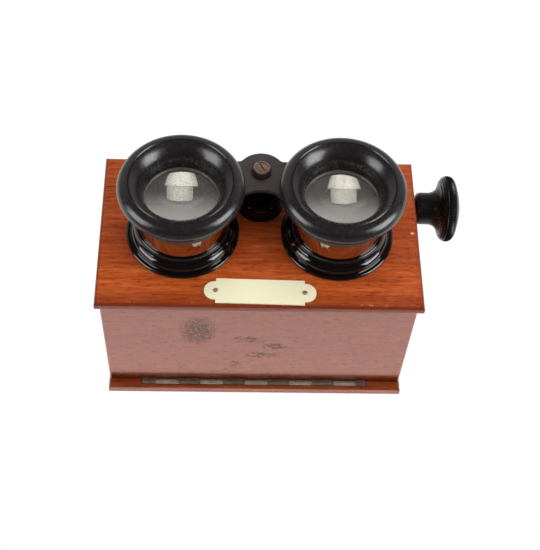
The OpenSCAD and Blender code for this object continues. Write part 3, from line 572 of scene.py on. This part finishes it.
def sleeveProfile():
    sleeve = {"wall": 1.1, "seat": 15.1, "seatDepth": 1.5, "lensEdge": 2.0, "ease": 0.2}
    low, top, outer = aboveDeck("sleeve_left")
    inner, seat, ease = outer - sleeve["wall"], sleeve["seat"], sleeve["ease"]
    seatTop = aboveDeck("lens_left")[1] - sleeve["lensEdge"]
    seatLow = seatTop - sleeve["seatDepth"]
    return [
        (inner, low + ease), (inner + ease, low), (outer - ease, low), (outer, low + ease),
        (outer, top - ease), (outer - ease, top), (inner, top), (inner, seatTop),
        (seat, seatTop), (seat, seatLow), (inner, seatLow), (inner, low + ease),
    ]


def lensProfile():
    lens = {"curve": 32, "clear": 14.8, "edge": 2.0, "ease": 0.15}
    low, top, outer = aboveDeck("lens_left")
    half = math.degrees(math.asin(lens["clear"] / lens["curve"]))
    return [
        *arc((0, low + lens["curve"]), lens["curve"], -90, -90 + half, 32),
        (outer, top - lens["edge"]), (outer, top - lens["ease"]), (outer - lens["ease"], top),
        (0, top),
    ]


def ringProfile():
    ring = {"inner": 14.9, "outer": 15.3, "edge": 0.5, "ease": 0.12}
    low, top, outer = aboveDeck("lens_ring_left")
    inner, ease, lip = ring["inner"], ring["ease"], low + ring["edge"]
    return [
        (inner, low), (outer, low), (outer, top), (ring["outer"], top),
        (inner + ease, lip), (inner, lip - ease), (inner, low),
    ]


eyepiece = [  # node, profile, finish, steps round, smoothing angle
    ("eyecup_", cupProfile, "cupEbonite", 160, 32),
    ("flange_", flangeProfile, "flangeEbonite", 160, 32),
    ("sleeve_", sleeveProfile, "nickel", 160, 32),
    ("lens_", lensProfile, "lens_glass", 96, 20),
    ("lens_ring_", ringProfile, "ringMetal", 128, 32),
]
for side in ("left", "right"):
    foot = deckFoot("eyecup_" + side)
    for start, profile, look, steps, smooth in eyepiece:
        node = start + side
        piece = turn(pieceName(node), profile(), foot, steps=steps, smooth=smooth)
        settle(piece, node, finish[look])
print("eyepieces turned")


def collarProfile():
    collar = {"bead": 0.8, "wall": 0.6, "top": 1.8, "hole": 6.614}
    low, top, outer = aboveDeck("post_collar")
    bead = (outer - collar["bead"], collar["bead"])
    wall = outer - collar["wall"]
    beadEnd = math.degrees(math.acos((wall - bead[0]) / collar["bead"]))
    return [
        (collar["hole"], low), (bead[0], low),
        *arc(bead, collar["bead"], -90, beadEnd, 10),
        *arc((wall - collar["top"], top - collar["top"]), collar["top"], 0, 90, 10),
        (collar["hole"], top), (collar["hole"], low),
    ]


postFoot = deckFoot("post_collar")
piece = turn("postCollar", collarProfile(), postFoot, steps=96)
settle(piece, "post_collar", finish["ebonite"])


# Focus knob, turned along x, with turned rings and a knurl on its rim

knob = {
    "neck": 7.1, "shoulder": 2.3, "shoulderAt": 5.2, "flare": 1.185, "flareGap": 0.3, "sweep": 80,
    "rim": 3.3, "rimAt": 5.6, "face": 28.9, "faceEdge": 11.2, "bore": 1.72, "boreDepth": 13.72,
    "ease": 0.2, "rings": ((-90, -78), (-72, -58), (-52, -36)), "ringGap": 3, "groove": 0.35,
    "front": (-30, 70), "ridges": 110, "ridgeDepth": 0.35, "ridgeFrom": -22, "ridgeTo": 34,
}


def ringedRim(centre):  # grooves on the back of the rim
    points = []
    for start, end in knob["rings"]:
        points += arc(centre, knob["rim"], start, end, 4)
        points += arc(centre, knob["rim"] - knob["groove"], end + knob["ringGap"], end, 1)[:1]
    return points + arc(centre, knob["rim"], *knob["front"], 26)


def knobProfile(length, outer):
    hub = knob["neck"] - knob["shoulder"]
    rim = (outer - knob["rim"], length - knob["rimAt"])
    flare = knob["flare"] * (rim[0] - knob["neck"])
    flareRise = flare * math.sin(math.radians(knob["sweep"]))
    flareAt = rim[1] - knob["rim"] - knob["flareGap"] - flareRise
    faceAngle = math.degrees(math.acos(knob["faceEdge"] / knob["face"]))
    return [
        (0, knob["boreDepth"]), (knob["bore"], knob["boreDepth"]), (knob["bore"], 0),
        (hub - knob["ease"], 0), (hub, knob["ease"]),
        *arc((hub, knob["shoulderAt"]), knob["shoulder"], -90, 0, 10),
        *arc((knob["neck"] + flare, flareAt), flare, 180, 180 - knob["sweep"], 18),
        *ringedRim(rim),
        *arc((0, length - knob["face"]), knob["face"], faceAngle, 90, 12),
    ]


def cutKnurl(piece, foot, length, outer):  # every second row of the rim drawn in
    rimX = foot.x + length - knob["rimAt"] * mm
    rimR = outer - knob["rim"] * mm
    pick(piece)
    bpy.ops.object.mode_set(mode="EDIT")
    bpy.ops.mesh.select_mode(type="VERT")
    bpy.ops.mesh.select_all(action="DESELECT")
    mesh = bmesh.from_edit_mesh(piece.data)
    for corner in mesh.verts:
        off = corner.co - foot
        radius = math.hypot(off.y, off.z)
        onRim = math.degrees(math.atan2(corner.co.x - rimX, radius - rimR))
        row = round(math.atan2(off.z, off.y) / math.pi * knob["ridges"])
        inBand = radius > rimR and knob["ridgeFrom"] < onRim < knob["ridgeTo"]
        corner.select_set(inBand and row % 2 == 1)
    mesh.select_flush(True)
    bmesh.update_edit_mesh(piece.data)
    shrink = 1 - knob["ridgeDepth"] * mm / outer
    bpy.ops.transform.resize(value=(1, shrink, shrink), center_override=foot)
    bpy.ops.object.mode_set(mode="OBJECT")


def makeKnob():
    low, high, middle, size = span("focus_knob")
    foot = Vector((low.x, middle.y, middle.z))
    profile = knobProfile(size.x / mm, size.y / 2 / mm)
    piece = turn("focusKnob", profile, foot, (1, 0, 0), 2 * knob["ridges"])
    cutKnurl(piece, foot, size.x, size.y / 2)
    smoothOff(piece, 20)
    return piece


settle(makeKnob(), "focus_knob", finish["knobEbonite"])
print("collar and knob turned")


# Bridge screw on its beaded washer

washer = {"hole": 2.02, "inset": 0.12, "shoulder": 0.5, "top": 3.5, "chamfer": (0.15, 0.1),
          "bead": 0.5, "beads": 26, "beadAt": 1.2}
screw = {"shank": 2.0, "rim": 0.7, "rimRound": 0.3, "ease": 0.2, "groove": 2.75,
         "chamfer": (0.15, 0.1), "dome": 2.45, "domeFoot": 0.3, "slotWidth": 0.8,
         "slotDepth": 1.15, "slotReach": 2.4, "slotAngle": -62}


def makeWasher():
    low, top, outer = aboveDeck("bridge_washer")
    hole, body = washer["hole"], outer - washer["inset"]
    outward, down = washer["chamfer"]
    profile = [
        (hole, low), (body, low), (body, low + washer["shoulder"]),
        (washer["top"] + outward, top - down), (washer["top"], top), (hole, top), (hole, low),
    ]
    piece = turn("bridgeWasher", profile, postFoot, steps=84)
    beads = []
    ring = arc((0, 0), outer - washer["bead"], 0, 360, washer["beads"])[:-1]
    for x, y in ring:
        deselectAll()
        place = postFoot + Vector((x, y, low + washer["beadAt"])) * mm
        bpy.ops.mesh.primitive_uv_sphere_add(segments=12, ring_count=8, location=place,
                                             radius=washer["bead"] * mm)
        applyPlace()
        beads.append(bpy.context.object)
    pick(piece)
    for bead in beads:
        bead.select_set(True)
    bpy.ops.object.join()
    smoothOff(piece, 40)
    return piece


def makeScrew():
    low, top, outer = aboveDeck("bridge_screw")
    head = aboveDeck("bridge_washer")[1]
    domeFoot = head + screw["domeFoot"]
    rise = top - domeFoot
    curve = (screw["dome"] ** 2 + rise ** 2) / (2 * rise)
    half = math.degrees(math.asin(screw["dome"] / curve))
    rim = head + screw["rim"]
    rimRound = (outer - screw["rimRound"], rim - screw["rimRound"])
    outward, down = screw["chamfer"]
    profile = [
        (0, low), (screw["shank"], low), (screw["shank"], head),
        (outer - screw["ease"], head), (outer, head + screw["ease"]),
        *arc(rimRound, screw["rimRound"], 0, 90, 5),
        (screw["groove"] + outward, rim), (screw["groove"], rim - down), (screw["groove"], domeFoot),
        *arc((0, top - curve), curve, 90 - half, 90, 10),
    ]
    piece = turn("bridgeScrew", profile, postFoot, steps=72)
    deselectAll()
    bpy.ops.mesh.primitive_cube_add(size=1, location=postFoot + Vector((0, 0, top * mm)),
                                    rotation=(0, 0, math.radians(screw["slotAngle"])))
    slot = named("slot")
    slotSize = (screw["slotReach"] * outer, screw["slotWidth"], 2 * screw["slotDepth"])
    slot.scale = Vector(slotSize) * mm
    applyPlace()
    cutAway(piece, slot)
    smoothOff(piece)
    return piece


settle(makeWasher(), "bridge_washer", finish["darkBronze"])
settle(makeScrew(), "bridge_screw", finish["bronze"])
print("screw and washer made")


# Everything else keeps its solid's shape, with its edges eased

easing = {"usual": 0.1, "bridge_plate": 0.3, "plaque": 0.2}
ownLook = {"front_wall": "mahoganyFront", "focus_post": "knobEbonite",
           "hinge_leaf_case": "hingeDark"}


def lookOf(node):
    crosswise = "left" in node or "right" in node
    if node in ownLook:
        return ownLook[node]
    if node.startswith("door_rail"):
        return "mahoganyBaseEnd" if crosswise else "mahoganyBase"
    if slotOf[node] == "mahogany":
        return "mahoganyY" if crosswise else "mahoganyX"
    return slotOf[node]


def easedCopy(node, solid):
    piece = bpy.data.objects.new(pieceName(node), solid.data.copy())
    bpy.context.scene.collection.objects.link(piece)
    pick(piece)
    bpy.ops.object.mode_set(mode="EDIT")
    bpy.ops.mesh.select_all(action="SELECT")
    bpy.ops.mesh.remove_doubles(threshold=0.1 * tiny)
    bpy.ops.mesh.dissolve_limited(angle_limit=math.radians(0.5))
    bpy.ops.object.mode_set(mode="OBJECT")
    easeEdges(piece, easing.get(node, easing["usual"]) * mm)
    return piece


for node, solid in frame["nodes"].items():
    if not solid.hide_render:
        settle(easedCopy(node, solid), node, finish[lookOf(node)])
print("remaining pieces eased")


# Camera at the photograph's place, in mm and degrees, focal length in pixels

camera = {"place": (-14.27, -282.2, 479.34), "pitch": 57.0, "yaw": 4.04, "roll": -4.24,
          "focal": 1158.0, "image": (540, 550), "sensor": 36, "near": 0.01}


def setCamera():
    pitch, yaw, roll = (math.radians(camera[key]) for key in ("pitch", "yaw", "roll"))
    level = Vector((math.cos(yaw), -math.sin(yaw), 0))
    forward = Vector((math.sin(yaw), math.cos(yaw), 0))
    ahead = forward * math.cos(pitch) - Vector((0, 0, math.sin(pitch)))
    fall = ahead.cross(level)
    right = level * math.cos(roll) + fall * math.sin(roll)
    down = fall * math.cos(roll) - level * math.sin(roll)
    lens = bpy.data.cameras.new("camera")
    lens.sensor_width = camera["sensor"]
    lens.lens = camera["sensor"] * camera["focal"] / max(camera["image"])
    lens.clip_start = camera["near"]
    eye = bpy.data.objects.new("camera", lens)
    turnTo = Matrix((right, -down, -ahead)).transposed().to_4x4()
    eye.matrix_world = Matrix.Translation(Vector(camera["place"]) * mm) @ turnTo
    bpy.context.scene.collection.objects.link(eye)
    bpy.context.scene.camera = eye


setCamera()


# Floor, room and lamps, in metres

studio = {
    "floor": 4.0, "paper": 0.9, "floorGlow": 1.06, "footShade": 0.7, "footReach": 3 * mm,
    "frontShade": 0.2, "frontFade": (-0.115, -0.088),
    "room": 0.16, "roomHigh": 0.04, "roomLow": 0.5,
    "roomFade": (0.70, 0.84), "roomRear": (0.15, 0.65),
    "aim": (0, 0, 0.08),
    "lamps": [  # name, place, width, height, watts, mirrored
        ("leftBox", (-0.53, -0.17, 0.35), 0.34, 0.42, 2.2, True),
        ("rightBox", (0.52, -0.18, 0.37), 0.34, 0.42, 3.3, True),
        ("overheadBox", (0.1, 0.05, 0.99), 0.9, 0.9, 7.2, False),
    ],
    "panels": [  # name, low corner, high corner, strength, share of it at the ends
        ("frontPanel", (-0.66, -0.92), (0.58, -0.15), 4.7, 0.5),
        ("rearPanel", (-0.42, -0.14), (0.44, 0.44), 3.0, 0.6),
    ],
    "panelHeight": 0.9086, "panelEven": 0.1,
}
white = (1, 1, 1, 1)


def makeFloor():  # paper for the light, a white glow where it is seen or mirrored
    deselectAll()
    bpy.ops.mesh.primitive_grid_add(x_subdivisions=8, y_subdivisions=8, size=studio["floor"],
                                    location=(0, 0, -tiny))
    floor = named("floor")
    material, tree = emptyMaterial("floorPaper")
    paths = addNode(tree, "LightPath").outputs
    mirrored = calc(tree, "MAXIMUM", paths["Is Glossy Ray"], paths["Is Transmission Ray"])
    seen = calc(tree, "MAXIMUM", paths["Is Camera Ray"], mirrored)
    paper = addNode(tree, "BsdfDiffuse", {"Color": (*(studio["paper"],) * 3, 1)})
    x, y, z = parts(tree, objectPlace(tree))
    low, high = cadBox
    pastSide = calc(tree, "SUBTRACT", calc(tree, "ABSOLUTE", x), -low[0])
    pastFront = calc(tree, "SUBTRACT", calc(tree, "ABSOLUTE", y), -low[1])
    away = calc(tree, "MAXIMUM", pastSide, pastFront)
    shade = remap(tree, away, 0, studio["footReach"], studio["footShade"], studio["floorGlow"])
    fade = remap(tree, y, *studio["frontFade"], studio["frontShade"], 1)
    shade = calc(tree, "MULTIPLY", shade, fade)
    strength = calc(tree, "MAXIMUM", shade, paths["Is Camera Ray"])
    glow = addNode(tree, "Emission", {"Color": white, "Strength": strength})
    both = addNode(tree, "MixShader", {0: seen, 1: paper.outputs[0], 2: glow.outputs[0]})
    addNode(tree, "OutputMaterial", {"Surface": both.outputs[0]})
    floor.data.materials.append(material)


def makeRoom():  # white behind the viewer, dim as light, lighter in mirrors towards the rear
    world = bpy.data.worlds.new("studio")
    world.use_nodes = True
    tree = world.node_tree
    tree.nodes.clear()
    paths = addNode(tree, "LightPath").outputs
    x, y, z = parts(tree, addNode(tree, "TexCoord").outputs["Generated"])
    notAbove = remap(tree, z, *studio["roomFade"], 1, 0)
    behind = calc(tree, "MULTIPLY", notAbove, remap(tree, y, *studio["roomRear"]))
    mirrored = remap(tree, behind, 0, 1, studio["roomHigh"], studio["roomLow"])
    inputs = {0: paths["Is Glossy Ray"], 2: studio["room"], 3: mirrored}
    strength = addNode(tree, "Mix", inputs).outputs[0]
    room = addNode(tree, "Background", {"Color": white, "Strength": strength}).outputs[0]
    backdrop = addNode(tree, "Background", {"Color": white, "Strength": 1.0}).outputs[0]
    both = addNode(tree, "MixShader", {0: paths["Is Camera Ray"], 1: room, 2: backdrop})
    addNode(tree, "OutputWorld", {"Surface": both.outputs[0]})
    bpy.context.scene.world = world


def makeLamps():
    for name, place, width, height, power, mirrored in studio["lamps"]:
        data = bpy.data.lights.new(name, "AREA")
        data.shape = "RECTANGLE"
        data.size = width
        data.size_y = height
        data.energy = power
        lamp = bpy.data.objects.new(name, data)
        lamp.location = place
        aim = Vector(studio["aim"]) - Vector(place)
        lamp.rotation_euler = aim.to_track_quat("-Z", "Y").to_euler()
        lamp.visible_glossy = mirrored
        lamp.visible_transmission = False
        bpy.context.scene.collection.objects.link(lamp)


def makePanels():  # lit sheets over the viewer that only the lenses show
    for name, low, high, power, ends in studio["panels"]:
        width, depth = high[0] - low[0], high[1] - low[1]
        middle = ((low[0] + high[0]) / 2, (low[1] + high[1]) / 2, studio["panelHeight"])
        deselectAll()
        bpy.ops.mesh.primitive_plane_add(size=1, location=middle)
        sheet = named(name)
        sheet.scale = (width, depth, 1)
        applyPlace()
        material, tree = emptyMaterial(name)
        x, y, z = parts(tree, objectPlace(tree))
        off = calc(tree, "ABSOLUTE", calc(tree, "SUBTRACT", x, middle[0]))
        strength = remap(tree, off, studio["panelEven"], width / 2, power, power * ends)
        glow = addNode(tree, "Emission", {"Color": white, "Strength": strength})
        addNode(tree, "OutputMaterial", {"Surface": glow.outputs[0]})
        sheet.data.materials.append(material)
        sheet.visible_camera = False
        sheet.visible_diffuse = False
        sheet.visible_glossy = False
        sheet.visible_shadow = False


makeFloor()
makeRoom()
makeLamps()
makePanels()
bpy.context.scene.view_settings.view_transform = "Standard"
print("stage set")
